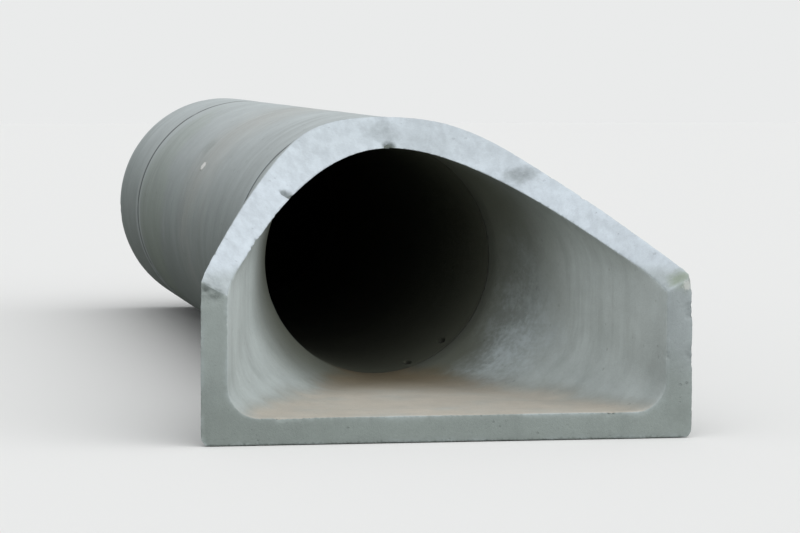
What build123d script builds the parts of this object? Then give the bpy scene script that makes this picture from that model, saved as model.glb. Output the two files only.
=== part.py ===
from build123d import *
import math
import os

# Culvert outlet in precast concrete: a flared end section and the pipe
# lengths joined on behind it. Sizes are in millimetres.
# X runs across the channel, Y runs upstream and Z is up. The toe faces -Y.

# Pipe
bore = 1219.2
wall = 127.0
first_length = 4876.8
last_length = 1219.2
end_chamfer = 18.0

# Tongue and groove joint. The groove's mouth and root are measured
# outwards from the bore.
groove_depth = 102.0
groove_mouth = 78.0
groove_root = 66.0
tongue_length = 104.0
tongue_clearance = 3.0
joint_gap = 12.0
seal_inset = 28.0
seal_clearance = 2.0

# Flared end section. The rim falls from its outer edge to its inner edge.
flare_run = 1828.8
barrel_run = 304.8
toe_width = 2082.8
tip_height = 635.0
rim_fall = 65.0
crown_edge = 15.0
toe_corner = 150.0
toe_heel = 60.0
base_trim = 12.0

# Facets in each rounded corner and each shoulder of the flare
turn_facets = 22

# Stations along the flare, as shares of its run. Beside each is how high
# the outer and the inner shoulder arch there, as shares of their radius.
stations = [
    (-0.05, 0.68, 0.42),
    (0.17, 0.77, 0.54),
    (0.36, 0.92, 0.76),
    (0.56, 1.02, 0.89),
    (0.76, 1.08, 0.945),
    (0.92, 1.07, 0.97),
    (1.0, 1.0, 1.0),
]

# Derived sizes
inner_radius = bore / 2
outer_radius = inner_radius + wall
axis_height = outer_radius
crown_height = 2 * outer_radius
total_length = (
    flare_run + barrel_run + joint_gap + first_length + joint_gap + last_length
)
toe_y = -total_length / 2
barrel_y = toe_y + flare_run
section_end_y = barrel_y + barrel_run
first_y = section_end_y + joint_gap
first_end_y = first_y + first_length
last_y = first_end_y + joint_gap
last_end_y = last_y + last_length
joint_taper = (groove_mouth - groove_root) / groove_depth


def mix(start, end, share):
    return start + (end - start) * share


def across(y):
    """Upright drawing plane across the culvert at y."""
    return Plane(origin=(0, y, 0), x_dir=(1, 0, 0), z_dir=(0, -1, 0))


def turned(profile):
    """Solid turned about the pipe's axis from pairs of radius and y."""
    points = [(0, y, axis_height + radius) for radius, y in profile]
    face = make_face(Polyline(*points, close=True))
    return revolve(face, Axis((0, 0, axis_height), (0, 1, 0)))


def facets(curve):
    """Even spots along a curve, which becomes a run of flat facets."""
    return [curve @ (index / turn_facets) for index in range(turn_facets + 1)]


def trough(half_toe, radius, corner, base):
    """Hull of the toe's flat lower half and the barrel's round lower half."""
    start = stations[0][0]
    half = mix(half_toe, radius, start)
    turn = mix(corner, radius, start)
    toe = facets(CenterArc((half - turn, base + turn), turn, -90, 90))
    toe.append(Vector(half, axis_height))
    bowl = facets(CenterArc((0, axis_height), radius, -90, 90))
    rows = [(toe_y + start * flare_run, toe), (barrel_y, bowl)]
    sides = (-1, 1)
    return ConvexPolyhedron([(k * p.X, y, p.Y) for y, row in rows for p in row for k in sides])


def arched_face(half, arch):
    """Upper half of a section, upright where it leaves the trough's walls."""
    top = axis_height + arch
    pull = 0.5523
    shoulder = Bezier(
        (half, axis_height),
        (half, mix(axis_height, top, pull)),
        (half * pull, top),
        (0, top),
    )
    right = [(p.X, p.Y) for p in facets(shoulder)]
    left = [(-x, z) for x, z in reversed(right[:-1])]
    return make_face(Polyline(*right, *left, close=True))


def horn(half_toe, radius, corner, base, column):
    """Solid that runs from the wide flat toe to the round barrel."""
    faces = []
    for row in stations:
        face = arched_face(mix(half_toe, radius, row[0]), row[column] * radius)
        faces.append(across(toe_y + row[0] * flare_run) * face)
    return trough(half_toe, radius, corner, base) + loft(faces)


def arch_at(share, column):
    """Shoulder height between two stations."""
    for low, high in zip(stations, stations[1:]):
        if share <= high[0]:
            part = (share - low[0]) / (high[0] - low[0])
            return mix(low[column], high[column], part)
    return stations[-1][column]


# The rim's outer edge climbs from the toe to just before the barrel.
edge_share = 1 - crown_edge / flare_run
edge_height = axis_height + arch_at(edge_share, 1) * outer_radius
rim_slope = (edge_height - wall - tip_height) / (edge_share * flare_run)


def rim_height(share, fall):
    return wall + tip_height - fall + rim_slope * share * flare_run


def rim_half_width(share, half_toe, radius, column, fall):
    """Half the width of the horn where the sloping rim cuts it."""
    half = mix(half_toe, radius, share)
    lift = rim_height(share, fall) - axis_height
    arch = arch_at(share, column) * radius
    if lift <= 0:
        return half
    return half * math.sqrt(max(0.0, 1 - (lift / arch) ** 2))


def rim_curve(half_toe, radius, column, fall, count=10):
    """Points of one rim edge, from past the toe up to the crown."""
    low = 0.5
    high = 1.0
    for _ in range(40):
        middle = (low + high) / 2
        if rim_half_width(middle, half_toe, radius, column, fall) > 0:
            low = middle
        else:
            high = middle
    top = low
    start = stations[0][0]
    points = []
    for index in range(count + 1):
        share = top - (top - start) * (index / count) ** 2
        half = rim_half_width(share, half_toe, radius, column, fall)
        if index == 0:
            half = 0.0
        y = toe_y + share * flare_run
        points.append(Vector(half, y, rim_height(share, fall)))
    return points


def rim_face(points):
    """Closed face inside one rim edge and its mirror image."""
    left = [Vector(-p.X, p.Y, p.Z) for p in reversed(points[1:])]
    ring = left + points
    return Face(Wire([Spline(*ring), Line(ring[-1], ring[0])]))


def rim_cutter():
    """Everything above the twisted rim, which falls towards the channel."""
    outer = rim_curve(toe_width / 2 + wall, outer_radius, 1, 0)
    inner = rim_curve(toe_width / 2, inner_radius, 2, rim_fall)
    reach = 0.3
    above = [a + (a - b) * reach for a, b in zip(outer, inner)]
    below = [b + (b - a) * reach for a, b in zip(outer, inner)]
    funnel = loft([rim_face(below), rim_face(above)], ruled=True)
    base = Plane(
        origin=(0, toe_y, wall + tip_height + rim_fall * reach),
        x_dir=(1, 0, 0),
        z_dir=(0, -rim_slope, 1),
    )
    sky = extrude(base * Rectangle(2 * toe_width, 4 * flare_run), 2 * crown_height)
    return funnel, sky


def groove(mouth_y):
    """Tapered recess that opens upstream at mouth_y."""
    root_y = mouth_y - groove_depth
    return turned(
        [
            (inner_radius / 2, root_y),
            (inner_radius + groove_root, root_y),
            (inner_radius + groove_mouth, mouth_y),
            (inner_radius + groove_mouth, mouth_y + wall),
            (inner_radius / 2, mouth_y + wall),
        ]
    )


def tongue_profile(shoulder_y):
    """Outline of the tapered tongue, which points downstream."""
    tip_y = shoulder_y - tongue_length
    shoulder = groove_mouth - tongue_clearance + joint_gap * joint_taper
    tip = shoulder - tongue_length * joint_taper
    return [
        (inner_radius, tip_y),
        (inner_radius + tip, tip_y),
        (inner_radius + shoulder, shoulder_y),
    ]


def pipe(shoulder_y, length):
    """One pipe length: tongue downstream, groove upstream."""
    end_y = shoulder_y + length
    profile = tongue_profile(shoulder_y) + [
        (outer_radius - end_chamfer, shoulder_y),
        (outer_radius, shoulder_y + end_chamfer),
        (outer_radius, end_y - end_chamfer),
        (outer_radius - end_chamfer, end_y),
        (inner_radius, end_y),
    ]
    return turned(profile) - groove(end_y)


def seal(mouth_y):
    """Mastic ring squeezed between a groove's mouth and the next shoulder."""
    low = inner_radius + groove_mouth + seal_clearance
    high = outer_radius - seal_inset
    far_y = mouth_y + joint_gap
    return turned([(low, mouth_y), (high, mouth_y), (high, far_y), (low, far_y)])


# Flared end section: outer horn and barrel, less the waterway, the part
# above the rim, the part before the toe and the groove for the first pipe.
# The horn starts a little low, and its underside is trimmed flat.
end_section = horn(toe_width / 2 + wall, outer_radius, toe_heel, -base_trim, 1)
end_section += turned(
    [
        (0, barrel_y),
        (outer_radius, barrel_y),
        (outer_radius, section_end_y - end_chamfer),
        (outer_radius - end_chamfer, section_end_y),
        (0, section_end_y),
    ]
)
ground_box = Box(2 * toe_width, 2 * total_length, crown_height)
end_section -= Pos(0, 0, -crown_height / 2) * ground_box
end_section -= Pos(0, toe_y - total_length, crown_height / 2) * ground_box
end_section -= horn(toe_width / 2, inner_radius, toe_corner, wall, 2)
end_section -= turned(
    [
        (0, barrel_y),
        (inner_radius, barrel_y),
        (inner_radius, section_end_y + wall),
        (0, section_end_y + wall),
    ]
)
for cutter in rim_cutter():
    end_section -= cutter
end_section -= groove(section_end_y)

parts = {
    "flared_end_section": end_section,
    "joint_seal_1": seal(section_end_y),
    "pipe_length_1": pipe(first_y, first_length),
    "joint_seal_2": seal(first_end_y),
    "pipe_length_2": pipe(last_y, last_length),
}

os.makedirs("parts", exist_ok=True)
for name, shape in parts.items():
    export_step(shape, f"parts/{name}.step")
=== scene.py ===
"""Looks of a precast concrete culvert outlet: a flared end section and the pipe run behind it."""

import math
from functools import partial

import bmesh
import bpy
from bpy.props import FloatProperty, FloatVectorProperty, IntProperty, PointerProperty
from mathutils import Matrix, Vector, noise
from mathutils.bvhtree import BVHTree
from mathutils.kdtree import KDTree


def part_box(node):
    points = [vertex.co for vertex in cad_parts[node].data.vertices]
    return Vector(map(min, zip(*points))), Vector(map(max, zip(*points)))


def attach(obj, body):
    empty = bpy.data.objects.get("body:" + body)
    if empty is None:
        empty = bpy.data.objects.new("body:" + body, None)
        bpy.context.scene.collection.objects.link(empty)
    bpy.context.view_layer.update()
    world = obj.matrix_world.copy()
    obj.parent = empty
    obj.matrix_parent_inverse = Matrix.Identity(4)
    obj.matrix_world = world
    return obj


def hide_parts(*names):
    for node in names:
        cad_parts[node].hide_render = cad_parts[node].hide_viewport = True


bl_info = {
    "name": "Culvert Outlet",
    "version": (1, 0, 0),
    "blender": (4, 5, 0),
    "location": "View3D > Sidebar > Outlet",
    "description": "Weathered concrete end section, pipe lengths and joint seals",
    "category": "Object",
}

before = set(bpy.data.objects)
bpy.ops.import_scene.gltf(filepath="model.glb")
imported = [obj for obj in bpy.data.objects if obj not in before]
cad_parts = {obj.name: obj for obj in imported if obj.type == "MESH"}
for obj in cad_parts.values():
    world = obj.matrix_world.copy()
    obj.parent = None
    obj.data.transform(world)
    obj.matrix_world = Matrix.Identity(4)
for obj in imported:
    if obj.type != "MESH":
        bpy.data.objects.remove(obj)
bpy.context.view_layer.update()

# The frame's own sizes, in metres. The pipe's axis runs along Y over the origin.
TOE_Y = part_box("flared_end_section")[0].y
OUTER_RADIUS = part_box("pipe_length_1")[1].z / 2
AXIS = Vector((0, 0, OUTER_RADIUS))
JOINTS = {
    "joint_seal_1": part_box("joint_seal_1"),
    "joint_seal_2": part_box("joint_seal_2"),
}
JOINT_Y = {name: (low.y + high.y) / 2 for name, (low, high) in JOINTS.items()}


def number(name, default, text, **more):
    """A number property."""
    return FloatProperty(name=name, default=default, description=text, **more)


def size(name, default, text):
    """A length property in metres."""
    return number(name, default, text, unit="LENGTH", precision=4)


def spot(name, default, text):
    """A property for a point or a direction."""
    return FloatVectorProperty(name=name, default=default, description=text)


def tint(name, default, text):
    """A colour property."""
    return FloatVectorProperty(
        name=name, default=default, description=text, subtype="COLOR", min=0, max=1
    )


class OutletPipe(bpy.types.PropertyGroup):
    """Sizes of the pipe lengths and their joints."""

    wall: size("Wall", 0.127, "Thickness of the pipe wall")
    groove_depth: size("Groove Depth", 0.102, "Depth of the groove at the upstream end")
    groove_mouth: size("Groove Mouth", 0.078, "Groove's mouth, outwards from the bore")
    groove_root: size("Groove Root", 0.066, "Groove's root, outwards from the bore")
    tongue_length: size("Tongue Length", 0.104, "Length of the tongue downstream")
    tongue_shoulder: size("Tongue Shoulder", 0.0764, "Tongue's shoulder, outwards from the bore")
    tongue_tip: size("Tongue Tip", 0.0642, "Tongue's tip, outwards from the bore")
    chamfer: size("Chamfer", 0.018, "Chamfer around each end of a casting")
    worn_edge: size("Worn Edge", 0.006, "Width of the worn arrises")
    ring_step: size("Ring Step", 0.055, "Spacing of the rings of faces along the pipe")
    around: IntProperty(
        name="Around", default=176, min=48, max=360, description="Faces around the pipe"
    )
    wave: size("Wave", 0.0016, "Height of the slow waves in the surface")
    chip: size("Chip", 0.012, "Depth of the deepest chips along the arrises")
    hole_reach: size("Hole Reach", 0.02, "Half the width of the two broken spots in the bore")
    hole_depth: size("Hole Depth", 0.025, "Depth of the two broken spots in the bore")


class OutletEnd(bpy.types.PropertyGroup):
    """Sizes of the end section's weathering."""

    face_step: size("Face Step", 0.024, "Width of the even faces that cover the casting")
    arris_step: size("Arris Step", 0.008, "Width of the faces along the arrises and knocks")
    worn_reach: size("Worn Reach", 0.022, "Reach of the wear on each side of an arris")
    worn_depth: size("Worn Depth", 0.003, "How far every arris is worn back")
    wave: size("Wave", 0.0016, "Height of the slow waves in the surface")
    chip: size("Chip", 0.012, "Depth of the deepest chips along the arrises")
    seam_width: size("Seam Width", 0.045, "Half the width of the form seam over the crown")
    seam_height: size("Seam Height", 0.0015, "Height of the form seam over the crown")


class OutletTints(bpy.types.PropertyGroup):
    """Colours of the finishes."""

    rim: tint("Rim", (0.56, 0.62, 0.67), "Clean bluish concrete of the rim")
    skin: tint("Skin", (0.29, 0.325, 0.325), "Outer skin of the castings")
    toe: tint("Toe", (0.40, 0.445, 0.455), "Cast end face of the toe")
    # Painted highlight: the tops are painted lighter in this colour, and the lips about the second
    # joint too.
    crown: tint("Crown", (0.45, 0.49, 0.495), "Rain-washed tops")
    # Painted shade and splashed dirt: low down on the skins and up the inner walls the concrete is
    # painted darker in this colour, which also colours the rain runs and dirt marks.
    low: tint("Low", (0.105, 0.125, 0.115), "Damp and splashed concrete low down")
    lining: tint("Lining", (0.57, 0.625, 0.62), "Formed inner faces")
    # Painted shade: the dim bore is painted in this colour.
    bore: tint("Bore", (0.11, 0.118, 0.088), "Dim, damp bore")
    silt: tint("Silt", (0.445, 0.41, 0.35), "Dried silt on the floor")
    mud: tint("Mud", (0.16, 0.125, 0.07), "Brown stain behind the silt")
    algae: tint("Algae", (0.22, 0.27, 0.17), "Faint green growth")
    bloom: tint("Bloom", (0.54, 0.61, 0.64), "Lime bloom")
    mortar: tint("Mortar", (0.80, 0.80, 0.78), "Splashes of pale mortar")
    # Painted shade and dirt: the joint gaps, the tongue's tip and the broken spots are painted
    # darker in this colour.
    grime_and_shade: tint("Grime", (0.03, 0.03, 0.026), "Dark dirt held in joints and holes")
    mastic: tint("Mastic", (0.025, 0.024, 0.023), "Joint mastic")


class OutletStage(bpy.types.PropertyGroup):
    """Camera, floor and light."""

    eye: spot("Eye", (-3.007, -19.2995, 1.8423), "Where the camera stands")
    aim: spot("Aim", (0.0965, -2.3, 0.70), "What the camera looks at")
    roll: number("Roll", -0.0027, "Camera's roll", subtype="ANGLE")
    lens: number("Lens", 150, "Focal length in millimetres", min=10)
    floor: tint("Floor", (0.80, 0.80, 0.79), "Floor")
    bounce: tint("Bounce", (0.22, 0.23, 0.21), "Floor as the light that bounces off it sees it")
    card_gap: size("Card Gap", 0.25, "Distance of the black card behind the second joint")
    card: tint("Card", (0.004, 0.004, 0.004), "Black card across the bore")
    sky: number("Sky", 0.5, "Strength of the even sky light", min=0)
    sky_tint: tint("Sky Tint", (0.96, 0.98, 1.0), "Colour of the even sky light")
    backdrop: tint("Backdrop", (0.822, 0.831, 0.83), "Sky as the camera sees it")
    sun: number("Sun", 2.1, "Strength of the soft lamp", min=0)
    sun_spread: number("Sun Spread", math.radians(100), "Width of the lamp", subtype="ANGLE")
    sun_from: spot("Sun From", (0.25, -0.55, 0.8), "Side that the lamp shines from")


# Node helpers


def shader_node(tree, kind, inputs=None, **settings):
    """Adds a node, sets it up, and links or fills its inputs."""
    made = tree.nodes.new("ShaderNode" + kind)
    for name, value in settings.items():
        setattr(made, name, value)
    for name, value in (inputs or {}).items():
        socket = made.inputs[name]
        if isinstance(value, bpy.types.NodeSocket):
            tree.links.new(value, socket)
        else:
            socket.default_value = (*value, 1.0) if socket.type == "RGBA" else value
    return made


def maths(operation, tree, first, second=0.0):
    """A maths node's result."""
    return shader_node(tree, "Math", {0: first, 1: second}, operation=operation).outputs[0]


plus = partial(maths, "ADD")
minus = partial(maths, "SUBTRACT")
times = partial(maths, "MULTIPLY")
divided = partial(maths, "DIVIDE")
larger = partial(maths, "MAXIMUM")


def ramp(tree, value, low, high, start=0.0, end=1.0):
    """A value eased from start to end while it goes from low to high."""
    inputs = {"Value": value, "From Min": low, "From Max": high, "To Min": start, "To Max": end}
    made = shader_node(tree, "MapRange", inputs, interpolation_type="SMOOTHSTEP")
    return made.outputs["Result"]


def tinted(tree, share, under, over, mode="MIX"):
    """One colour laid over another by a share."""
    inputs = {0: share, 6: under, 7: over}
    return shader_node(tree, "Mix", inputs, data_type="RGBA", blend_type=mode).outputs[2]


def coated(tree, base, coats):
    """A colour with coats laid over it in turn. Each has a mask, its share and a colour."""
    for where, share, over in coats:
        base = tinted(tree, times(tree, where, share), base, over)
    return base


def speckle(tree, vector, scale, detail=3.0, roughness=0.55):
    """A noise texture's value."""
    inputs = {"Vector": vector, "Scale": scale, "Detail": detail, "Roughness": roughness}
    return shader_node(tree, "TexNoise", inputs).outputs["Fac"]


def attribute(tree, name):
    """A vertex attribute's value."""
    return shader_node(tree, "Attribute", attribute_name=name).outputs["Fac"]


def stretched(tree, vector, x, y, z, shift=0.0):
    """Coordinates scaled along each axis."""
    inputs = {"Vector": vector, "Scale": (x, y, z), "Location": (shift, shift, shift)}
    return shader_node(tree, "Mapping", inputs).outputs["Vector"]


def shader_group(name, inputs, outputs=("Mask",), gives="Float"):
    """A new node group, what it is given and what it gives out.

    Each input has its default number, or else its kind.
    """
    group = bpy.data.node_groups.new(name, "ShaderNodeTree")
    for label, default in inputs.items():
        kind = default if isinstance(default, str) else "Float"
        socket = group.interface.new_socket(label, in_out="INPUT", socket_type="NodeSocket" + kind)
        if kind == "Float":
            socket.default_value = default
    for label in outputs:
        group.interface.new_socket(label, in_out="OUTPUT", socket_type="NodeSocket" + gives)
    given = group.nodes.new("NodeGroupInput").outputs
    return group, given, group.nodes.new("NodeGroupOutput").inputs


def placed(tree, group, **values):
    """A group's outputs, placed in a tree with its own values."""
    return shader_node(tree, "Group", values, node_tree=bpy.data.node_groups[group]).outputs


def mask(tree, group, place, **values):
    """A group's mask at a place."""
    return placed(tree, group, Vector=place, **values)["Mask"]


def toned(tree, shade, tone, layers):
    """A colour toned by a value, to which a share of each layer is added."""
    for value, share in layers:
        tone = plus(tree, tone, times(tree, value, share))
    return placed(tree, "Toned Colour", Colour=shade, Tone=tone)["Colour"]


def patch(tree, place, centre, reach, tear, core=0.7):
    """A ragged patch about a centre."""
    return mask(tree, "Ragged Patch", place, Centre=centre, Reach=reach, Tear=tear, Core=core)


# Shared effects, as node groups


def clouding_group():
    """Soft uneven tone, as cement paste dries."""
    group, given, out = shader_group("Clouding", {"Vector": "Vector", "Scale": 1.6})
    wide = speckle(group, given["Vector"], given["Scale"], 5.0, 0.6)
    fine = speckle(group, given["Vector"], times(group, given["Scale"], 6.5), 4.0, 0.6)
    both = plus(group, times(group, wide, 0.65), times(group, fine, 0.35))
    group.links.new(ramp(group, both, 0.34, 0.66), out["Mask"])


def grain_group():
    """Sand and cement grain, as tone and height."""
    inputs = {"Vector": "Vector", "Scale": 90.0}
    group, given, out = shader_group("Sand Grain", inputs, ("Tone", "Height"))
    coarse = speckle(group, given["Vector"], given["Scale"], 4.0, 0.7)
    fine = speckle(group, given["Vector"], times(group, given["Scale"], 4.0), 2.0, 0.6)
    height = plus(group, times(group, coarse, 0.7), times(group, fine, 0.3))
    group.links.new(height, out["Height"])
    group.links.new(ramp(group, coarse, 0.3, 0.7), out["Tone"])


def voids_group():
    """Air voids left by the form: small round pits, thickly or thinly spread."""
    inputs = {"Vector": "Vector", "Spacing": 0.03, "Share": 0.4}
    group, given, out = shader_group("Air Voids", inputs)
    scale = divided(group, 1.0, given["Spacing"])
    cells = shader_node(group, "TexVoronoi", {"Vector": given["Vector"], "Scale": scale}).outputs
    pick = shader_node(group, "SeparateColor", {"Color": cells["Color"]}).outputs["Red"]
    cut = minus(group, 1.0, given["Share"])
    radius = times(group, ramp(group, pick, cut, 1.0), 0.32)
    edge = minus(group, radius, cells["Distance"])
    group.links.new(ramp(group, edge, 0.0, 0.07), out["Mask"])


def streak_group():
    """Runs of rain-washed dirt, long in Z."""
    inputs = {"Vector": "Vector", "Width": 0.06, "Length": 1.2}
    group, given, out = shader_group("Rain Runs", inputs)
    across = divided(group, 1.0, given["Width"])
    down = divided(group, 1.0, given["Length"])
    scale = shader_node(group, "CombineXYZ", {"X": across, "Y": across, "Z": down}).outputs[0]
    inputs = {0: given["Vector"], 1: scale}
    laid = shader_node(group, "VectorMath", inputs, operation="MULTIPLY").outputs[0]
    thin = speckle(group, laid, 1.0, 3.0, 0.65)
    broad = speckle(group, laid, 0.28, 2.0, 0.5)
    both = times(group, ramp(group, thin, 0.42, 0.68), ramp(group, broad, 0.4, 0.62))
    group.links.new(both, out["Mask"])


def spot_group():
    """A ragged patch about a point."""
    inputs = {"Vector": "Vector", "Centre": "Vector", "Reach": 0.1, "Tear": 2.2, "Core": 0.7}
    group, given, out = shader_group("Ragged Patch", inputs)
    inputs = {0: given["Vector"], 1: given["Centre"]}
    gap = shader_node(group, "VectorMath", inputs, operation="DISTANCE").outputs["Value"]
    ratio = divided(group, gap, given["Reach"])
    torn = speckle(group, given["Vector"], divided(group, 1.4, given["Reach"]), 4.0, 0.65)
    torn = times(group, minus(group, torn, 0.5), given["Tear"])
    ragged = plus(group, ratio, torn)
    group.links.new(ramp(group, ragged, given["Core"], 1.15, 1.0, 0.0), out["Mask"])


def low_group():
    """A share below a height, with a wandering edge: for painted shade and splashed dirt low down,
    and for silt.
    """
    inputs = {"Vector": "Vector", "Top": 0.5, "Fade": 0.4, "Wander": 0.5}
    group, given, out = shader_group("Height Line", inputs)
    height = shader_node(group, "SeparateXYZ", {"Vector": given["Vector"]}).outputs["Z"]
    wander = speckle(group, stretched(group, given["Vector"], 1.0, 1.0, 0.4), 3.5, 4.0, 0.6)
    wander = times(group, minus(group, wander, 0.5), given["Wander"])
    base = minus(group, given["Top"], given["Fade"])
    share = ramp(group, plus(group, height, wander), base, given["Top"], 1.0, 0.0)
    group.links.new(share, out["Mask"])


def wear_group():
    """Pale wear on the arrises, in patches."""
    inputs = {"Patches": 0.5, "Start": 0.3, "Least": 0.05, "Most": 0.35, "Covered": 0.0}
    group, given, out = shader_group("Edge Wear", inputs)
    full = plus(group, given["Start"], 0.5)
    patchy = ramp(group, given["Patches"], given["Start"], full, given["Least"], given["Most"])
    worn = times(group, attribute(group, "edge"), patchy)
    group.links.new(times(group, worn, minus(group, 1.0, given["Covered"])), out["Mask"])


def toned_group():
    """A colour made darker or lighter by a tone."""
    inputs = {"Colour": "Color", "Tone": 1.0}
    group, given, out = shader_group("Toned Colour", inputs, ("Colour",), "Color")
    tone = given["Tone"]
    grey = shader_node(group, "CombineColor", {0: tone, 1: tone, 2: tone}).outputs[0]
    group.links.new(tinted(group, 1.0, given["Colour"], grey, "MULTIPLY"), out["Colour"])


# Finishes


def new_material(name):
    """An empty material with its tree, Principled BSDF and object coordinates."""
    made = bpy.data.materials.new(name)
    made.use_nodes = True
    tree = made.node_tree
    tree.nodes.clear()
    shader = shader_node(tree, "BsdfPrincipled")
    shader_node(tree, "OutputMaterial", {"Surface": shader.outputs["BSDF"]})
    place = shader_node(tree, "TexCoord").outputs["Object"]
    return made, tree, shader, place


def surfaced(tree, shader, shade, clouds, least, most, heights):
    """Feeds the shader a colour, a cloudy roughness and heights, each with its depth."""
    tree.links.new(shade, shader.inputs["Base Color"])
    tree.links.new(ramp(tree, clouds, 0.0, 1.0, least, most), shader.inputs["Roughness"])
    bump = {"Strength": 1.0}
    for height, depth in heights:
        bump.update(Height=height, Distance=depth)
        bump["Normal"] = shader_node(tree, "Bump", bump).outputs["Normal"]
    tree.links.new(bump["Normal"], shader.inputs["Normal"])


def cast_skin(tree, axes, low_shade_and_splash, tints):
    """Outer skin of the end section, with painted highlight on its top, painted shade and splashed
    dirt low down, and its end face.
    """
    left = ramp(tree, axes["X"], -1.1, 1.0, 1.0, 0.0)
    green = larger(tree, times(tree, left, 0.2), times(tree, low_shade_and_splash, 0.25))
    end_face = coated(tree, tints.toe, [(left, 0.1, tints.low), (green, 1.0, tints.algae)])
    # Painted highlight: the top is painted lighter.
    crown = ramp(tree, axes["Z"], 0.8, 1.42)
    toe = ramp(tree, axes["Y"], TOE_Y + 0.004, TOE_Y + 0.02, 1.0, 0.0)
    side = ramp(tree, axes["X"], -1.1, 1.1, 0.25, 0.15)
    coats = ((crown, 1.0, tints.crown), (toe, 1.0, end_face), (low_shade_and_splash, side, tints.low))
    return coated(tree, tints.skin, coats)


def bloomed(tree, place, lining, mottle, under, tints):
    """Lime bloom on the lining's right wall."""
    # Centre, reach, tear, and the least and the most share
    blooms = (
        ((0.66, -2.62, 0.60), 0.40, 0.8, 0.13, 0.26),
        ((0.60, -2.76, 0.31), 0.42, 1.2, 0.26, 0.7),
    )
    for centre, reach, tear, least, most in blooms:
        bloom = patch(tree, place, centre, reach, tear, 0.1)
        bloom = times(tree, bloom, ramp(tree, mottle, 0.0, 1.0, least, most))
        under = coated(tree, under, [(bloom, lining, tints.bloom)])
    return under


def silted_floor(tree, place, axes, lining, under, tints):
    """Dried silt on the floor. Brown mud lies behind it and in a line along its edge."""
    silted = mask(tree, "Height Line", place, Top=0.165, Fade=0.045, Wander=0.06)
    muddy = mask(tree, "Height Line", place, Top=0.2, Fade=0.07, Wander=0.1)
    tide = times(tree, minus(tree, 1.0, silted), 0.35)
    mud = ramp(tree, axes["Y"], TOE_Y + 0.75, TOE_Y + 1.8, 0.0, 0.9)
    mud = times(tree, larger(tree, mud, tide), muddy)
    silted = times(tree, silted, lining)
    return coated(tree, under, [(silted, 0.95, tints.silt), (mud, lining, tints.mud)])


def marked(tree, place, under, tints):
    """Ragged marks of dirt, green and mortar on the rim and the tips; the dark marks over the
    knocks also paint the shade in them.
    """
    # Centre, reach, tear, core, share and colour
    marks = (
        ((0.588, -2.945, 1.192), 0.11, 1.5, 0.1, 0.45, tints.low),
        ((-0.618, -3.087, 1.11), 0.04, 0.8, 0.5, 0.6, tints.low),
        ((-0.03, -2.42, 1.405), 0.11, 1.6, 0.1, 0.26, tints.low),
        ((-0.004, -2.525, 1.335), 0.04, 1.0, 0.3, 0.8, tints.low),
        ((0.17, -2.55, 1.40), 0.22, 1.0, 0.1, 0.13, tints.low),
        ((-1.143, -4.127, 0.735), 0.032, 1.8, 0.2, 0.55, tints.low),
        ((-1.08, -4.127, 0.71), 0.034, 1.8, 0.2, 0.5, tints.low),
        ((1.12, -4.09, 0.75), 0.08, 1.2, 0.3, 0.6, tints.algae),
        ((1.152, -4.12, 0.72), 0.03, 2.6, 0.5, 0.5, tints.mortar),
    )
    for centre, reach, tear, core, share, shade in marks:
        mark = patch(tree, place, centre, reach, tear, core)
        under = coated(tree, under, [(mark, share, shade)])
    return under


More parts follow.
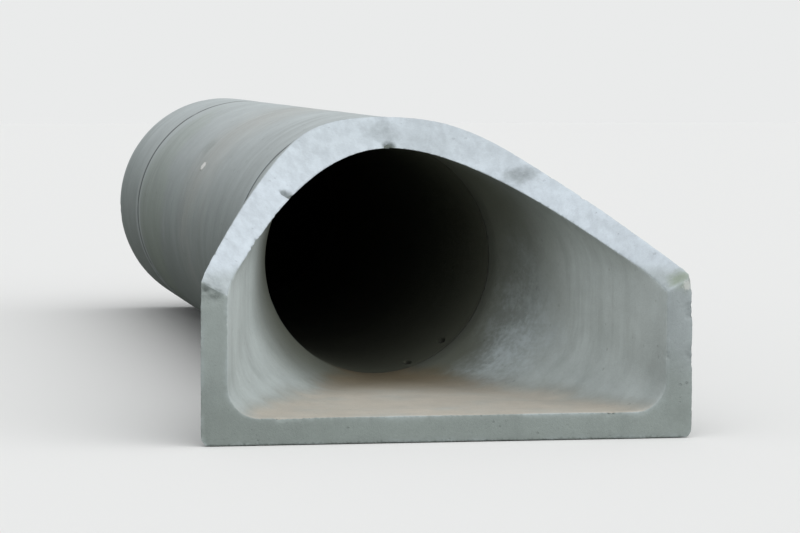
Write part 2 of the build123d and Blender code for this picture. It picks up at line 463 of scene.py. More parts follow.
def end_section_finish(tints):
    """Cast concrete of the end section: pale rim, formed lining and silted floor."""
    made, tree, shader, place = new_material("End Section Concrete")
    axes = shader_node(tree, "SeparateXYZ", {"Vector": place}).outputs
    rim = ramp(tree, attribute(tree, "rim"), 0.3, 0.7)
    lining = ramp(tree, attribute(tree, "lining"), 0.3, 0.7)
    clouds = mask(tree, "Clouding", place, Scale=1.7)
    shifted = stretched(tree, place, 1.0, 1.0, 1.6, 3.7)
    mottle = mask(tree, "Clouding", shifted, Scale=4.5)
    runs = mask(tree, "Rain Runs", place, Width=0.09, Length=0.9)
    grain = placed(tree, "Sand Grain", Vector=place, Scale=80.0)
    pits = mask(tree, "Air Voids", place, Spacing=0.03, Share=0.1)
    pores = mask(tree, "Air Voids", place, Spacing=0.01, Share=0.2)
    # Painted shade and splashed dirt: darker towards the bottom.
    low_shade_and_splash = mask(tree, "Height Line", place, Top=0.62, Fade=0.55)
    # Painted shade of the dim bore: its edge leans, and reaches farther out on the right.
    lean = plus(tree, times(tree, minus(tree, axes["Z"], AXIS.z), 0.22), 0.15)
    reached = plus(tree, axes["Y"], times(tree, axes["X"], lean))
    deep_shade = times(tree, lining, ramp(tree, reached, TOE_Y + 0.87, TOE_Y + 1.75))

    # Painted shade on the lining: darker higher up the walls, and low down with the splash.
    shaded = ramp(tree, axes["Z"], 0.75, 1.15, 0.0, 0.6)
    shaded = larger(tree, shaded, times(tree, low_shade_and_splash, 0.34))
    coats = (
        (lining, 1.0, tints.lining),
        (lining, shaded, tints.low),
        (runs, 0.14, tints.low),
        (deep_shade, 0.9, tints.bore),
    )
    shade = coated(tree, cast_skin(tree, axes, low_shade_and_splash, tints), coats)
    shade = bloomed(tree, place, lining, mottle, shade, tints)
    shade = silted_floor(tree, place, axes, lining, shade, tints)
    # The rim's clean top is duller at the tips and over the crown.
    dull = ramp(tree, axes["Z"], 0.75, 0.83, 0.95, 0.0)
    dull = larger(tree, dull, ramp(tree, axes["Z"], 1.1, 1.4, 0.0, 0.3))
    shade = tinted(tree, rim, shade, tinted(tree, dull, tints.rim, tints.toe))
    shade = marked(tree, place, shade, tints)
    wear = {"Patches": clouds, "Start": 0.3, "Least": 0.05, "Most": 0.35, "Covered": deep_shade}
    worn = placed(tree, "Edge Wear", **wear)["Mask"]
    # Painted shade and dirt in the open joint.
    joint = attribute(tree, "joint")
    shade = coated(tree, shade, [(worn, 1.0, tints.bloom), (joint, 0.9, tints.grime_and_shade)])

    # Faint streaks on the rim, drawn out up its slope.
    struck = speckle(tree, stretched(tree, place, 1.0, 0.45, 0.45), 22.0, 3.0, 0.6)
    struck = ramp(tree, struck, 0.35, 0.65, -0.06, 0.06)
    layers = (
        (clouds, 0.14),
        (mottle, 0.06),
        (struck, rim),
        (grain["Tone"], 0.07),
        (pits, -0.12),
        (pores, -0.07),
        (attribute(tree, "broken"), -0.16),
        (attribute(tree, "seam"), -0.1),
    )
    shade = toned(tree, shade, 0.88, layers)
    flat, smooth = minus(tree, 1.0, pits), minus(tree, 1.0, pores)
    heights = ((grain["Height"], 0.0022), (flat, 0.0016), (smooth, 0.0007))
    surfaced(tree, shader, shade, clouds, 0.82, 0.95, heights)
    return made


def pipe_skin(tree, place, axes, tints):
    """Outer skin of the pipes, and the share of its mortar spot."""
    hoops = stretched(tree, place, 0.06, 1.0, 1.0)
    runs = mask(tree, "Rain Runs", hoops, Width=0.11, Length=0.7)
    # Painted shade and splashed dirt: darker towards the bottom.
    low_shade_and_splash = mask(tree, "Height Line", place, Top=1.2, Fade=0.92, Wander=0.35)
    green = patch(tree, place, (-0.68, 2.2, 0.95), 0.7, 1.4)
    dust = patch(tree, place, (-0.3, 0.1, 1.38), 0.9, 1.6, 0.2)
    # Marks drawn out along the run.
    drawn = stretched(tree, place, 1.0, 0.35, 1.0)
    smudge = patch(tree, drawn, (-0.54, 0.21, 1.24), 0.08, 1.6, 0.2)
    mortar = patch(tree, drawn, (-0.62, 0.091, 1.134), 0.028, 1.4)
    away = maths("ABSOLUTE", tree, minus(tree, axes["Y"], JOINT_Y["joint_seal_2"]))
    coats = (
        # Painted highlight: the top is painted lighter.
        (ramp(tree, axes["Z"], 0.8, 1.42), 1.0, tints.crown),
        (low_shade_and_splash, 1.0, tints.low),
        (runs, 0.15, tints.low),
        (green, 0.17, tints.algae),
        (dust, 0.22, tints.silt),
        # Painted highlight and wear on the lips about the second joint.
        (ramp(tree, away, 0.05, 0.2, 0.4, 0.0), 1.0, tints.crown),
        (smudge, 0.25, tints.low),
        (mortar, 1.0, tints.mortar),
    )
    return coated(tree, tints.skin, coats), mortar


def pipe_finish(tints):
    """Spun concrete pipe: painted highlight on the crown, streaked flanks, and painted shade low
    down and in the bore.
    """
    made, tree, shader, place = new_material("Pipe Concrete")
    axes = shader_node(tree, "SeparateXYZ", {"Vector": place}).outputs
    inside = attribute(tree, "inside")
    clouds = mask(tree, "Clouding", place, Scale=1.3)
    shifted = stretched(tree, place, 1.0, 1.0, 1.0, 5.3)
    mottle = mask(tree, "Clouding", shifted, Scale=4.0)
    grain = placed(tree, "Sand Grain", Vector=place, Scale=75.0)
    pits = mask(tree, "Air Voids", place, Spacing=0.04, Share=0.12)
    rings = speckle(tree, stretched(tree, place, 0.3, 9.0, 0.3), 2.0, 4.0, 0.6)

    wear = {"Patches": clouds, "Start": 0.2, "Least": 0.25, "Most": 0.6, "Covered": inside}
    worn = placed(tree, "Edge Wear", **wear)["Mask"]
    # Painted shade and dirt in the joints, at the tongue's tip and in the broken spots.
    gap_shade_and_dirt = times(tree, attribute(tree, "joint"), 0.9)
    gap_shade_and_dirt = larger(tree, gap_shade_and_dirt, attribute(tree, "hole"))
    skin, mortar = pipe_skin(tree, place, axes, tints)
    # The bore is painted dark: painted shade.
    coats = ((inside, 1.0, tints.bore), (worn, 1.0, tints.bloom), (gap_shade_and_dirt, 1.0, tints.grime_and_shade))
    shade = coated(tree, skin, coats)
    layers = ((clouds, 0.14), (mottle, 0.09), (rings, 0.03), (grain["Tone"], 0.06), (pits, -0.2))
    shade = toned(tree, shade, 0.87, layers)
    flat = minus(tree, 1.0, pits)
    heights = ((rings, 0.0014), (grain["Height"], 0.002), (flat, 0.002), (mortar, 0.006))
    surfaced(tree, shader, shade, clouds, 0.84, 0.95, heights)
    return made


def mastic_finish(tints):
    """Dull black mastic with dust on it."""
    made, tree, shader, place = new_material("Joint Mastic")
    clouds = mask(tree, "Clouding", place, Scale=9.0)
    shade = coated(tree, tints.mastic, [(clouds, 0.25, tints.low)])
    surfaced(tree, shader, shade, clouds, 0.45, 0.8, [(speckle(tree, place, 60.0), 0.002)])
    return made


# Mesh helpers


def new_object(name, data):
    """A new object in the scene."""
    made = bpy.data.objects.new(name, data)
    bpy.context.scene.collection.objects.link(made)
    return made


def new_piece(bm, name, material):
    """An object made of a bmesh, with one material."""
    mesh = bpy.data.meshes.new(name)
    bm.to_mesh(mesh)
    bm.free()
    mesh.materials.append(material)
    return new_object(name, mesh)


def finished(bm, name, nodes, material):
    """Makes a piece of a bmesh that stands in for its CAD nodes, which it hides, and attaches it
    to the root body.
    """
    piece = new_piece(bm, name, material)
    mesh = piece.data
    for left in ("custom_normal", "skin"):
        if left in mesh.attributes:
            mesh.attributes.remove(mesh.attributes[left])
    for face in mesh.polygons:
        face.use_smooth = True
    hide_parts(*nodes)
    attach(piece, "root")


def finder(edges, spacing):
    """A search tree of points along some edges."""
    points = []
    for edge in edges:
        start, end = edge.verts[0].co, edge.verts[1].co
        steps = max(1, math.ceil((end - start).length / spacing))
        points += [start.lerp(end, index / steps) for index in range(steps + 1)]
    tree = KDTree(len(points))
    for index, point in enumerate(points):
        tree.insert(point, index)
    tree.balance()
    return tree


# Two faces that turn less than this from each other lie in one skin.
SKIN_ANGLE = math.radians(35)
# A smaller skin, in square metres, is a speck between facets. It joins the skin beside it.
SPECK_AREA = 0.01
SPECK_PASSES = 3


def number_skins(bm):
    """Numbers the faces in a layer: one number for each skin that no arris parts."""
    layer = bm.faces.layers.int.new("skin")
    areas = [0.0]
    for seed in bm.faces:
        if seed[layer]:
            continue
        seed[layer] = len(areas)
        areas.append(0.0)
        queue = [seed]
        while queue:
            face = queue.pop()
            areas[-1] += face.calc_area()
            for edge in face.edges:
                for other in edge.link_faces:
                    if not other[layer] and edge.calc_face_angle() < SKIN_ANGLE:
                        other[layer] = face[layer]
                        queue.append(other)
    specks = [face for face in bm.faces if areas[face[layer]] < SPECK_AREA]
    for face in specks * SPECK_PASSES:
        for edge in face.edges:
            for other in edge.link_faces:
                if areas[other[layer]] >= SPECK_AREA:
                    face[layer] = other[layer]
    return layer


def arris_edges(bm):
    """Edges between two skins."""
    layer = bm.faces.layers.int["skin"]
    return [edge for edge in bm.edges if len({face[layer] for face in edge.link_faces}) > 1]


def relax(bm, rounds):
    """Evens out the points that lie on no arris, and returns them."""
    held = {vert for edge in arris_edges(bm) for vert in edge.verts}
    free = [vert for vert in bm.verts if vert not in held]
    for _ in range(rounds):
        bmesh.ops.smooth_vert(
            bm, verts=free, factor=0.5, use_axis_x=True, use_axis_y=True, use_axis_z=True
        )
    return free


# Of the widths wanted at its two ends together: an edge longer than the first share is
# halved, and one shorter than the second is closed up.
LONG_SHARE = 0.75
SHORT_SHARE = 0.3
# Only small faces may move: large ones would reach through the wall.
LARGEST_MOVED = 0.15
EVEN_ROUNDS = 8
CLOSING_ROUNDS = 3
LAST_ROUNDS = 5


def close_short(bm, width):
    """Closes up edges much shorter than wanted, away from the arrises and from each other."""
    taken = {vert for edge in arris_edges(bm) for vert in edge.verts}
    chosen = []
    for edge in bm.edges:
        first, last = edge.verts
        if first in taken or last in taken:
            continue
        if edge.calc_length() < SHORT_SHARE * (first[width] + last[width]):
            by_first = {link.other_vert(first) for link in first.link_edges}
            by_last = {link.other_vert(last) for link in last.link_edges}
            if len(by_first & by_last) == 2:
                taken |= by_first | by_last
                chosen.append(edge)
    if chosen:
        bmesh.ops.collapse(bm, edges=chosen)


def even_faces(bm, surface, width_at):
    """Makes the faces even at a wanted width, and leaves the arrises where they are."""
    width = bm.verts.layers.float.new("width")
    for _ in range(EVEN_ROUNDS):
        for vert in bm.verts:
            vert[width] = width_at(vert.co)
        long = [
            edge
            for edge in bm.edges
            if edge.calc_length() > LONG_SHARE * sum(vert[width] for vert in edge.verts)
        ]
        if not long:
            break
        longest = max(edge.calc_length() for edge in long)
        bmesh.ops.subdivide_edges(bm, edges=long, cuts=1, use_single_edge=True)
        bmesh.ops.triangulate(bm, faces=bm.faces[:])
        if longest > LARGEST_MOVED:
            continue
        for _ in range(CLOSING_ROUNDS):
            close_short(bm, width)
        arrises = set(arris_edges(bm))
        loose = [edge for edge in bm.edges if edge not in arrises]
        bmesh.ops.beautify_fill(bm, faces=bm.faces[:], edges=loose)
        for vert in relax(bm, 1):
            vert.co = surface.find_nearest(vert.co)[0]
    relax(bm, LAST_ROUNDS)
    bm.verts.layers.float.remove(width)


def rough(point, scale):
    """Noise of a few octaves, about -1 to 1."""
    return noise.fractal(point * scale, 0.8, 2.1, 4)


def roughs(point, layers):
    """Noise in layers, each with its share and its scale."""
    return sum(share * rough(point, scale) for share, scale in layers)


def clamped(value):
    """A value kept between 0 and 1."""
    return max(0.0, min(1.0, value))


def move_points(moves):
    """Moves points, once all their moves are known."""
    for vert, move in moves.items():
        vert.co += move


# End section

# Knocks in the tips, the toe's edge and the rim: where, how wide and how deep, in metres.
KNOCKS = (
    (Vector((1.168, -4.127, 0.60)), 0.06, 0.01),
    (Vector((1.169, -4.127, 0.40)), 0.05, 0.007),
    (Vector((-1.08, -4.06, 0.78)), 0.08, 0.014),
    (Vector((-1.13, -4.127, 0.70)), 0.07, 0.012),
    (Vector((-0.004, -2.52, 1.335)), 0.045, 0.02),
    (Vector((-0.615, -3.09, 1.115)), 0.05, 0.02),
    (Vector((0.591, -2.93, 1.203)), 0.08, 0.006),
)
# The corner broken off the right tip: a point of the break, its facing and its reach.
BREAK = (Vector((1.143, -4.127, 0.765)), Vector((0.91, -0.35, 0.22)).normalized(), 0.16)
END_LAYERS = ("rim", "lining", "edge", "broken", "seam", "joint")
# Rays that meet the rim and the lining: where each starts and where it goes.
SEEDS = {
    "rim": (Vector((0, TOE_Y - 1, 1.40)), Vector((0, 1, 0))),
    "lining": (Vector((0, TOE_Y + 1, 0.5)), Vector((0, 0, -1))),
}

WELD = 0.0001
SLIVER = 0.0002
ARRIS_SPACING = 0.003
# The faces widen with the gap to the nearest arris, which counts for more in the barrel.
WIDENING = 0.6
BARREL_Y = TOE_Y + 1.95
BARREL_GAP = 0.02
# Noise of the end section, as shares and scales.
END_WAVES = ((0.7, 1.3), (0.3, 6.0))
END_BITES = ((1.0, 5.0), (0.6, 17.0))

# Painted shade and dirt of the open joints: how far it spreads along the run, how deep in a joint
# it can lie, where it starts under the skin, how soon it is full, and its share on the skin.
SHADE_AND_DIRT_REACH = 0.06
SHADE_AND_DIRT_DEPTH = 0.1
SHADE_AND_DIRT_START = 0.001
SHADE_AND_DIRT_FADE = 0.005
SHADE_AND_DIRT_ON_SKIN = {"joint_seal_1": 0.2, "joint_seal_2": 1.0}


def joint_shade_and_dirt(point):
    """Share of the painted shade and dirt that the open joints hold at a point of a casting."""
    gaps = {name: abs(point.y - y) for name, y in JOINT_Y.items()}
    name = min(gaps, key=gaps.get)
    depth = OUTER_RADIUS - radius_of(point)
    if gaps[name] > SHADE_AND_DIRT_REACH or depth > SHADE_AND_DIRT_DEPTH:
        return 0.0
    on_skin = SHADE_AND_DIRT_ON_SKIN[name] * (1 - gaps[name] / SHADE_AND_DIRT_REACH)
    return min(1.0, max(0.0, depth - SHADE_AND_DIRT_START) / SHADE_AND_DIRT_FADE + on_skin)


def mark_skins(bm, wanted):
    """Marks the rim and the lining in layers that are a half along their arrises."""
    skin = bm.faces.layers.int["skin"]
    for name, marked_skin in wanted.items():
        layer = bm.verts.layers.float[name]
        for vert in bm.verts:
            matches = {face[skin] == marked_skin for face in vert.link_faces}
            vert[layer] = sum(matches) / len(matches)


def knocked(point, lift):
    """Lift of a point once the knocks have sunk it, and how broken it is there."""
    broken = 0.0
    for centre, reach, depth in KNOCKS:
        gap = (point - centre).length / reach
        if gap < 1:
            share = max(0.0, (1 - gap * gap) ** 2 * (0.75 + 0.9 * rough(point, 24.0)))
            lift -= depth * share
            broken = min(1.0, 1.4 * share)
    return lift, broken


def break_tip(bm, broken):
    """Breaks the corner off the right tip."""
    centre, facing, reach = BREAK
    for vert in bm.verts:
        if (vert.co - centre).length < reach:
            proud = (vert.co - centre).dot(facing) + 0.004 * rough(vert.co, 28.0)
            if proud > 0:
                vert.co -= facing * proud
                vert[broken] = min(1.0, proud / 0.006)


def weather_end_section(bm, sizes, arrises):
    """Wears, chips, breaks and seams the casting."""
    layers = {name: bm.verts.layers.float[name] for name in END_LAYERS}
    bm.normal_update()
    moves = {}
    for vert in bm.verts:
        lift = sizes.wave * roughs(vert.co, END_WAVES)
        edge = max(0.0, 1.0 - arrises.find(vert.co)[2] / sizes.worn_reach)
        vert[layers["edge"]] = edge
        if edge > 0:
            bite = roughs(vert.co, END_BITES) - 0.55
            lift -= sizes.worn_depth * edge * edge * (1.0 + 0.5 * rough(vert.co, 30.0))
            lift -= sizes.chip * clamped(bite * 1.6) * edge
        lift, vert[layers["broken"]] = knocked(vert.co, lift)
        if vert[layers["rim"]] > 0.4:
            across = abs(vert.co.x + 0.012 * rough(vert.co, 7.0)) / sizes.seam_width
            if across < 1:
                share = 0.5 + 0.5 * math.cos(math.pi * across)
                vert[layers["seam"]] = share
                lift += sizes.seam_height * share
        vert[layers["joint"]] = joint_shade_and_dirt(vert.co)
        moves[vert] = vert.normal * lift
    move_points(moves)
    break_tip(bm, layers["broken"])


class OUTLET_OT_end_section(bpy.types.Operator):
    """Cast end section with worn arrises, chips and a form seam"""

    bl_idname = "outlet.end_section"
    bl_label = "End Section"

    def execute(self, context):
        scene = context.scene
        sizes = scene.outlet_end
        source = bmesh.new()
        source.from_mesh(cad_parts["flared_end_section"].data)
        bmesh.ops.remove_doubles(source, verts=source.verts[:], dist=WELD)
        bmesh.ops.dissolve_degenerate(source, edges=source.edges[:], dist=SLIVER)
        source.normal_update()
        source.faces.ensure_lookup_table()
        surface = BVHTree.FromBMesh(source)
        skin = number_skins(source)
        wanted = {
            name: source.faces[surface.ray_cast(*ray)[2]][skin] for name, ray in SEEDS.items()
        }
        arrises = finder(arris_edges(source), ARRIS_SPACING)
        bm = source.copy()
        source.free()
        for name in END_LAYERS:
            bm.verts.layers.float.new(name)

        def width_at(point):
            """Wanted width of the faces at a point: finer by an arris or a knock."""
            gap = arrises.find(point)[2]
            if point.y > BARREL_Y:
                gap += BARREL_GAP
            for centre, reach, _ in KNOCKS:
                gap = min(gap, max(0.0, (point - centre).length - reach))
            return min(sizes.face_step, sizes.arris_step + WIDENING * gap)

        even_faces(bm, surface, width_at)
        mark_skins(bm, wanted)
        weather_end_section(bm, sizes, arrises)
        finish = end_section_finish(scene.outlet_tints)
        finished(bm, "end_section_casting", ["flared_end_section"], finish)
        return {"FINISHED"}


# Pipe lengths

# Two broken spots low in the bore, just behind the end section's joint. They are drawn out
# along the run, and the faces about them are halved a few times.
HOLES = (Vector((0.398, -1.87, 0.275)), Vector((0.207, -1.91, 0.163)))
HOLE_DRAW = 0.25
HOLE_NEAR = 0.045
HOLE_HALVINGS = 3
HOLE_CUT = 0.06
# The pipe's edges that turn more than this are arrises.
ARRIS_TURN = math.radians(40)
PIPE_ARRIS_SPACING = 0.012
WORN_SEGMENTS = 3
SPIN_WELD = 0.00005
# Extra rings of faces this far from each end.
END_CUTS = (0.03, 0.05)
# The bore's rings are this much wider than the skin's.
BORE_STEP = 3
# Only edges longer than this are cut into rings.
LEAST_CUT = 0.3
ON_SKIN = 0.01
PIPE_LAYERS = ("inside", "edge", "joint", "hole")
# Noise of the pipes, as shares and scales.
PIPE_WAVES = ((0.7, 1.1), (0.3, 5.0))
PIPE_BITES = ((1.0, 4.0), (0.5, 13.0))
CHIP_REACH = 0.02
TIP_SHADE_AND_DIRT = 0.01
BORE_SLACK = 0.004


def spot_gap(point, centre):
    """Distance from a broken spot's centre, for a spot drawn out along the run."""
    away = point - centre
    return Vector((away.x, away.y * HOLE_DRAW, away.z)).length


def refine(bm, centre):
    """Halves the faces about a broken spot, a few times."""
    for _ in range(HOLE_HALVINGS):
        near = {vert for vert in bm.verts if spot_gap(vert.co, centre) < HOLE_NEAR}
        edges = [edge for edge in bm.edges if near.issuperset(edge.verts)]
        bmesh.ops.subdivide_edges(bm, edges=edges, cuts=1, use_grid_fill=True)


def pipe_outline(low_y, high_y, sizes):
    """Closed outline of a pipe wall, as pairs of radius and y, from the tongue's tip."""
    bore = OUTER_RADIUS - sizes.wall
    shoulder = low_y + sizes.tongue_length
    root = high_y - sizes.groove_depth
    return [
        (bore, low_y),
        (bore + sizes.tongue_tip, low_y),
        (bore + sizes.tongue_shoulder, shoulder),
        (OUTER_RADIUS - sizes.chamfer, shoulder),
        (OUTER_RADIUS, shoulder + sizes.chamfer),
        (OUTER_RADIUS, high_y - sizes.chamfer),
        (OUTER_RADIUS - sizes.chamfer, high_y),
        (bore + sizes.groove_mouth, high_y),
        (bore + sizes.groove_root, root),
        (bore, root),
    ]


def spun(outline, around):
    """A closed ring solid, spun about the pipe's axis from its outline."""
    bm = bmesh.new()
    verts = [bm.verts.new(AXIS + Vector((0, y, radius))) for radius, y in outline]
    edges = [bm.edges.new(pair) for pair in zip(verts, verts[1:] + verts[:1])]
    turn = {"cent": AXIS, "axis": (0, 1, 0), "angle": math.tau, "steps": around}
    bmesh.ops.spin(bm, geom=verts + edges, use_merge=True, **turn)
    bmesh.ops.remove_doubles(bm, verts=bm.verts[:], dist=SPIN_WELD)
    bmesh.ops.recalc_face_normals(bm, faces=bm.faces[:])
    return bm


def round_edges(bm, edges, offset):
    """Rounds the arrises of a spun solid."""
    look = {"segments": WORN_SEGMENTS, "profile": 0.5, "affect": "EDGES", "material": -1}
    bmesh.ops.bevel(bm, geom=edges, offset=offset, **look)


def radius_of(point):
    """Distance from the pipe's axis."""
    return math.hypot(point.x, point.z - AXIS.z)


def split_along(bm, radius, step):
    """Cuts the long faces of one skin into rings."""
    edges = [
        edge
        for edge in bm.edges
        if abs(edge.verts[0].co.y - edge.verts[1].co.y) > LEAST_CUT
        and all(abs(radius_of(vert.co) - radius) < ON_SKIN for vert in edge.verts)
    ]
    cuts = max(1, round(edges[0].calc_length() / step))
    bmesh.ops.subdivide_edges(bm, edges=edges, cuts=cuts, use_grid_fill=True)


def weather_pipe(bm, sizes, arrises):
    """Waves the skins a little, chips the arrises and sinks the holes."""
    layers = (bm.verts.layers.float.new(name) for name in PIPE_LAYERS)
    inside, worn, joint, hole = layers
    bore = OUTER_RADIUS - sizes.wall
    tip_y = min(vert.co.y for vert in bm.verts)
    bm.normal_update()
    moves = {}
    for vert in bm.verts:
        vert[inside] = 1.0 if radius_of(vert.co) < bore + BORE_SLACK else 0.0
        vert[joint] = max(joint_shade_and_dirt(vert.co), 1 - (vert.co.y - tip_y) / TIP_SHADE_AND_DIRT)
        edge = max(0.0, 1.0 - arrises.find(vert.co)[2] / CHIP_REACH)
        vert[worn] = edge
        lift = sizes.wave * (roughs(vert.co, PIPE_WAVES) - 0.6)
        if edge > 0:
            bite = roughs(vert.co, PIPE_BITES) - 0.5
            lift -= sizes.chip * clamped(bite * 1.5) * edge
        for centre in HOLES:
            gap = spot_gap(vert.co, centre) / sizes.hole_reach
            if gap < 1.2 and vert[inside]:
                share = clamped(3.0 - 2.8 * gap + 0.5 * rough(vert.co, 60.0))
                lift -= sizes.hole_depth * share
                vert[hole] = share
        moves[vert] = vert.normal * lift
    move_points(moves)


class OUTLET_OT_pipe_lengths(bpy.types.Operator):
    """Pipe lengths with tongue, groove, worn ends and wavy skins"""

    bl_idname = "outlet.pipe_lengths"
    bl_label = "Pipe Lengths"

    def execute(self, context):
        scene = context.scene
        sizes = scene.outlet_pipe
        finish = pipe_finish(scene.outlet_tints)
        bore = OUTER_RADIUS - sizes.wall
        for node in ("pipe_length_1", "pipe_length_2"):
            low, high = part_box(node)
            bm = spun(pipe_outline(low.y, high.y, sizes), sizes.around)
            rings = [edge for edge in bm.edges if edge.calc_face_angle() > ARRIS_TURN]
            arrises = finder(rings, PIPE_ARRIS_SPACING)
            round_edges(bm, rings, sizes.worn_edge)
            shoulder = low.y + sizes.tongue_length
            cuts = [shoulder + gap for gap in END_CUTS] + [high.y - gap for gap in END_CUTS]
            cuts += [HOLES[0].y + k * HOLE_CUT for k in range(-2, 3)]
            for y in cuts:
                geom = bm.verts[:] + bm.edges[:] + bm.faces[:]
                bmesh.ops.bisect_plane(bm, geom=geom, plane_co=(0, y, 0), plane_no=(0, 1, 0))
            split_along(bm, OUTER_RADIUS, sizes.ring_step)
            split_along(bm, bore, sizes.ring_step * BORE_STEP)
            for centre in HOLES:
                refine(bm, centre)
            weather_pipe(bm, sizes, arrises)
            finished(bm, node + "_casting", [node], finish)
        return {"FINISHED"}


# Joint seals

SEAL_AROUND = 144
SEAL_CLEARANCE = 0.002
SEAL_ROUNDING = 0.004
SEAL_SQUEEZE = 0.0015
SEAL_TURN = math.radians(50)


class OUTLET_OT_joint_seals(bpy.types.Operator):
    """Squeezed mastic beads in the two joints"""

    bl_idname = "outlet.joint_seals"
    bl_label = "Joint Seals"

    def execute(self, context):
        scene = context.scene
        sizes = scene.outlet_pipe
        finish = mastic_finish(scene.outlet_tints)
        inner = OUTER_RADIUS - sizes.wall + sizes.groove_mouth + SEAL_CLEARANCE
        for node, (low, high) in JOINTS.items():
            outer = high.z - AXIS.z
            outline = [(inner, low.y), (outer, low.y), (outer, high.y), (inner, high.y)]
            bm = spun(outline, SEAL_AROUND)
            rings = [edge for edge in bm.edges if edge.calc_face_angle() > SEAL_TURN]
            round_edges(bm, rings, SEAL_ROUNDING)
            bm.normal_update()
            for vert in bm.verts:
                squeeze = SEAL_SQUEEZE * (rough(vert.co, 9.0) - 1.0)
                away = (vert.co - AXIS) * Vector((1, 0, 1))
                if away.length > (inner + outer) / 2:
                    vert.co += away.normalized() * squeeze
            finished(bm, node + "_bead", [node], finish)
        return {"FINISHED"}


# Stage

FLOOR_REACH = 60
FLOOR_LEVEL = -0.002
CARD_AROUND = 48
CARD_OVERLAP = 0.01
CLIP_END = 200


def stage_material(name, shade, roughness):
    """A plain material of the stage, its tree and its shader."""
    made, tree, shader, _ = new_material(name)
    shader.inputs["Base Color"].default_value = (*shade, 1.0)
    shader.inputs["Roughness"].default_value = roughness
    return made, tree, shader


def seen_straight(tree):
    """1 for what the camera, a reflection or a clear piece sees, and 0 for light that bounces."""
    path = shader_node(tree, "LightPath").outputs
    seen = larger(tree, path["Is Camera Ray"], path["Is Glossy Ray"])
    return larger(tree, seen, path["Is Transmission Ray"])


def stage_sheet(name, outline, material):
    """A flat stage piece from its corner points."""
    bm = bmesh.new()
    bm.faces.new([bm.verts.new(point) for point in outline])
    sheet = new_piece(bm, name, material)


def lay_floor(stage):
    """A pale floor, darker for the light that bounces off it."""
    material, tree, shader = stage_material("Floor", stage.floor, 0.9)
    shade = tinted(tree, seen_straight(tree), stage.bounce, stage.floor)
    tree.links.new(shade, shader.inputs["Base Color"])
    corners = ((-1, -1), (1, -1), (1, 1), (-1, 1))
    corners = [Vector((x * FLOOR_REACH, y * FLOOR_REACH, FLOOR_LEVEL)) for x, y in corners]
    stage_sheet("floor", corners, material)


def set_card(stage, bore):
    """A black card across the bore, which keeps daylight out of it."""
    material = stage_material("Card", stage.card, 1.0)[0]
    radius = bore + CARD_OVERLAP
    y = JOINTS["joint_seal_2"][0].y + stage.card_gap
    turns = [math.tau * index / CARD_AROUND for index in range(CARD_AROUND)]
    rim = [AXIS + Vector((radius * math.cos(turn), y, radius * math.sin(turn))) for turn in turns]
    stage_sheet("bore_card", rim, material)


def light_sky(scene, stage):
    """An even sky, which the camera sees as a plain backdrop."""
    world = bpy.data.worlds.new("Sky")
    scene.world = world
    world.use_nodes = True
    tree = world.node_tree
    tree.nodes.clear()
    light, back = (
        shader_node(tree, "Background", {"Color": shade, "Strength": strength}).outputs[0]
        for shade, strength in ((stage.sky_tint, stage.sky), (stage.backdrop, 1.0))
    )
    mixed = shader_node(tree, "MixShader", {0: seen_straight(tree), 1: light, 2: back})
    shader_node(tree, "OutputWorld", {"Surface": mixed.outputs[0]})


def turned_to(direction, axis):
    """The turn that lays an axis of a lamp or a camera along a direction."""
    return Vector(direction).to_track_quat(axis, "Y").to_matrix().to_4x4()


def hang_lamp(stage):
    """A soft lamp from above."""
    lamp = bpy.data.lights.new("Top Light", "SUN")
    lamp.energy = stage.sun
    lamp.angle = stage.sun_spread
    new_object("Top Light", lamp).matrix_world = turned_to(stage.sun_from, "Z")


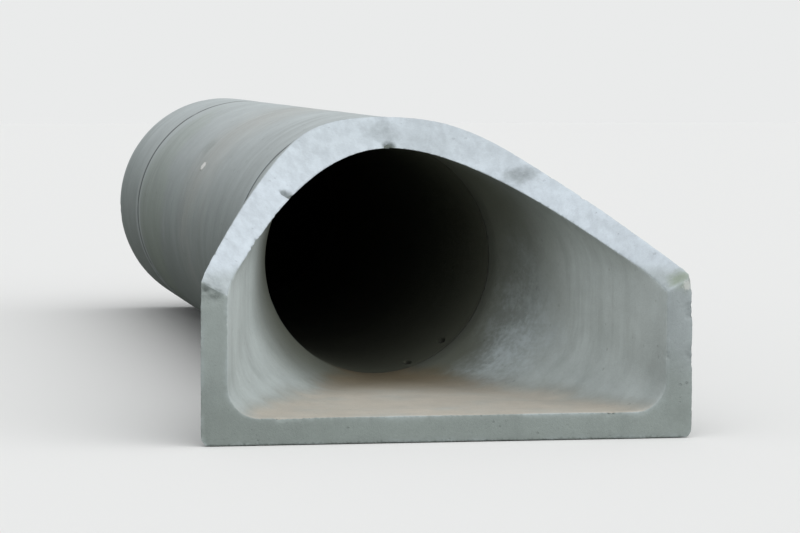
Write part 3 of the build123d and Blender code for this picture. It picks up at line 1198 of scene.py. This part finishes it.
def set_camera(scene, stage):
    """The camera, which looks from the eye to the aim."""
    camera = bpy.data.cameras.new("Camera")
    camera.lens = stage.lens
    camera.clip_end = CLIP_END
    scene.camera = new_object("Camera", camera)
    eye = Vector(stage.eye)
    look = turned_to(Vector(stage.aim) - eye, "-Z")
    roll = Matrix.Rotation(-stage.roll, 4, "Z")
    scene.camera.matrix_world = Matrix.Translation(eye) @ look @ roll


class OUTLET_OT_stage(bpy.types.Operator):
    """Pale floor, soft light, camera and the black card that keeps the bore dark"""

    bl_idname = "outlet.stage"
    bl_label = "Stage"

    def execute(self, context):
        scene = context.scene
        stage = scene.outlet_stage
        lay_floor(stage)
        set_card(stage, OUTER_RADIUS - scene.outlet_pipe.wall)
        light_sky(scene, stage)
        hang_lamp(stage)
        set_camera(scene, stage)
        scene.view_settings.view_transform = "Standard"
        return {"FINISHED"}


class OUTLET_PT_panel(bpy.types.Panel):
    """Lists the outlet's pieces and its finish"""

    bl_idname = "OUTLET_PT_panel"
    bl_label = "Culvert Outlet"
    bl_space_type = "VIEW_3D"
    bl_region_type = "UI"
    bl_category = "Outlet"

    def draw(self, context):
        for maker in OPERATORS:
            self.layout.operator(maker.bl_idname)
        for name, group in GROUPS.items():
            box = self.layout.box()
            settings = getattr(context.scene, name)
            for label in group.__annotations__:
                box.prop(settings, label)


GROUPS = {
    "outlet_pipe": OutletPipe,
    "outlet_end": OutletEnd,
    "outlet_tints": OutletTints,
    "outlet_stage": OutletStage,
}
OPERATORS = (
    OUTLET_OT_stage,
    OUTLET_OT_end_section,
    OUTLET_OT_pipe_lengths,
    OUTLET_OT_joint_seals,
)
CLASSES = (*GROUPS.values(), *OPERATORS, OUTLET_PT_panel)
EFFECTS = (
    clouding_group,
    grain_group,
    voids_group,
    streak_group,
    spot_group,
    low_group,
    wear_group,
    toned_group,
)


def register():
    for item in CLASSES:
        bpy.utils.register_class(item)
    for name, group in GROUPS.items():
        setattr(bpy.types.Scene, name, PointerProperty(type=group))


def unregister():
    for name in GROUPS:
        delattr(bpy.types.Scene, name)
    for item in reversed(CLASSES):
        bpy.utils.unregister_class(item)


def main():
    """Makes every piece and the stage."""
    register()
    for build in EFFECTS:
        build()
    for maker in OPERATORS:
        section, name = maker.bl_idname.split(".")
        getattr(getattr(bpy.ops, section), name)()


if __name__ == "__main__":
    main()
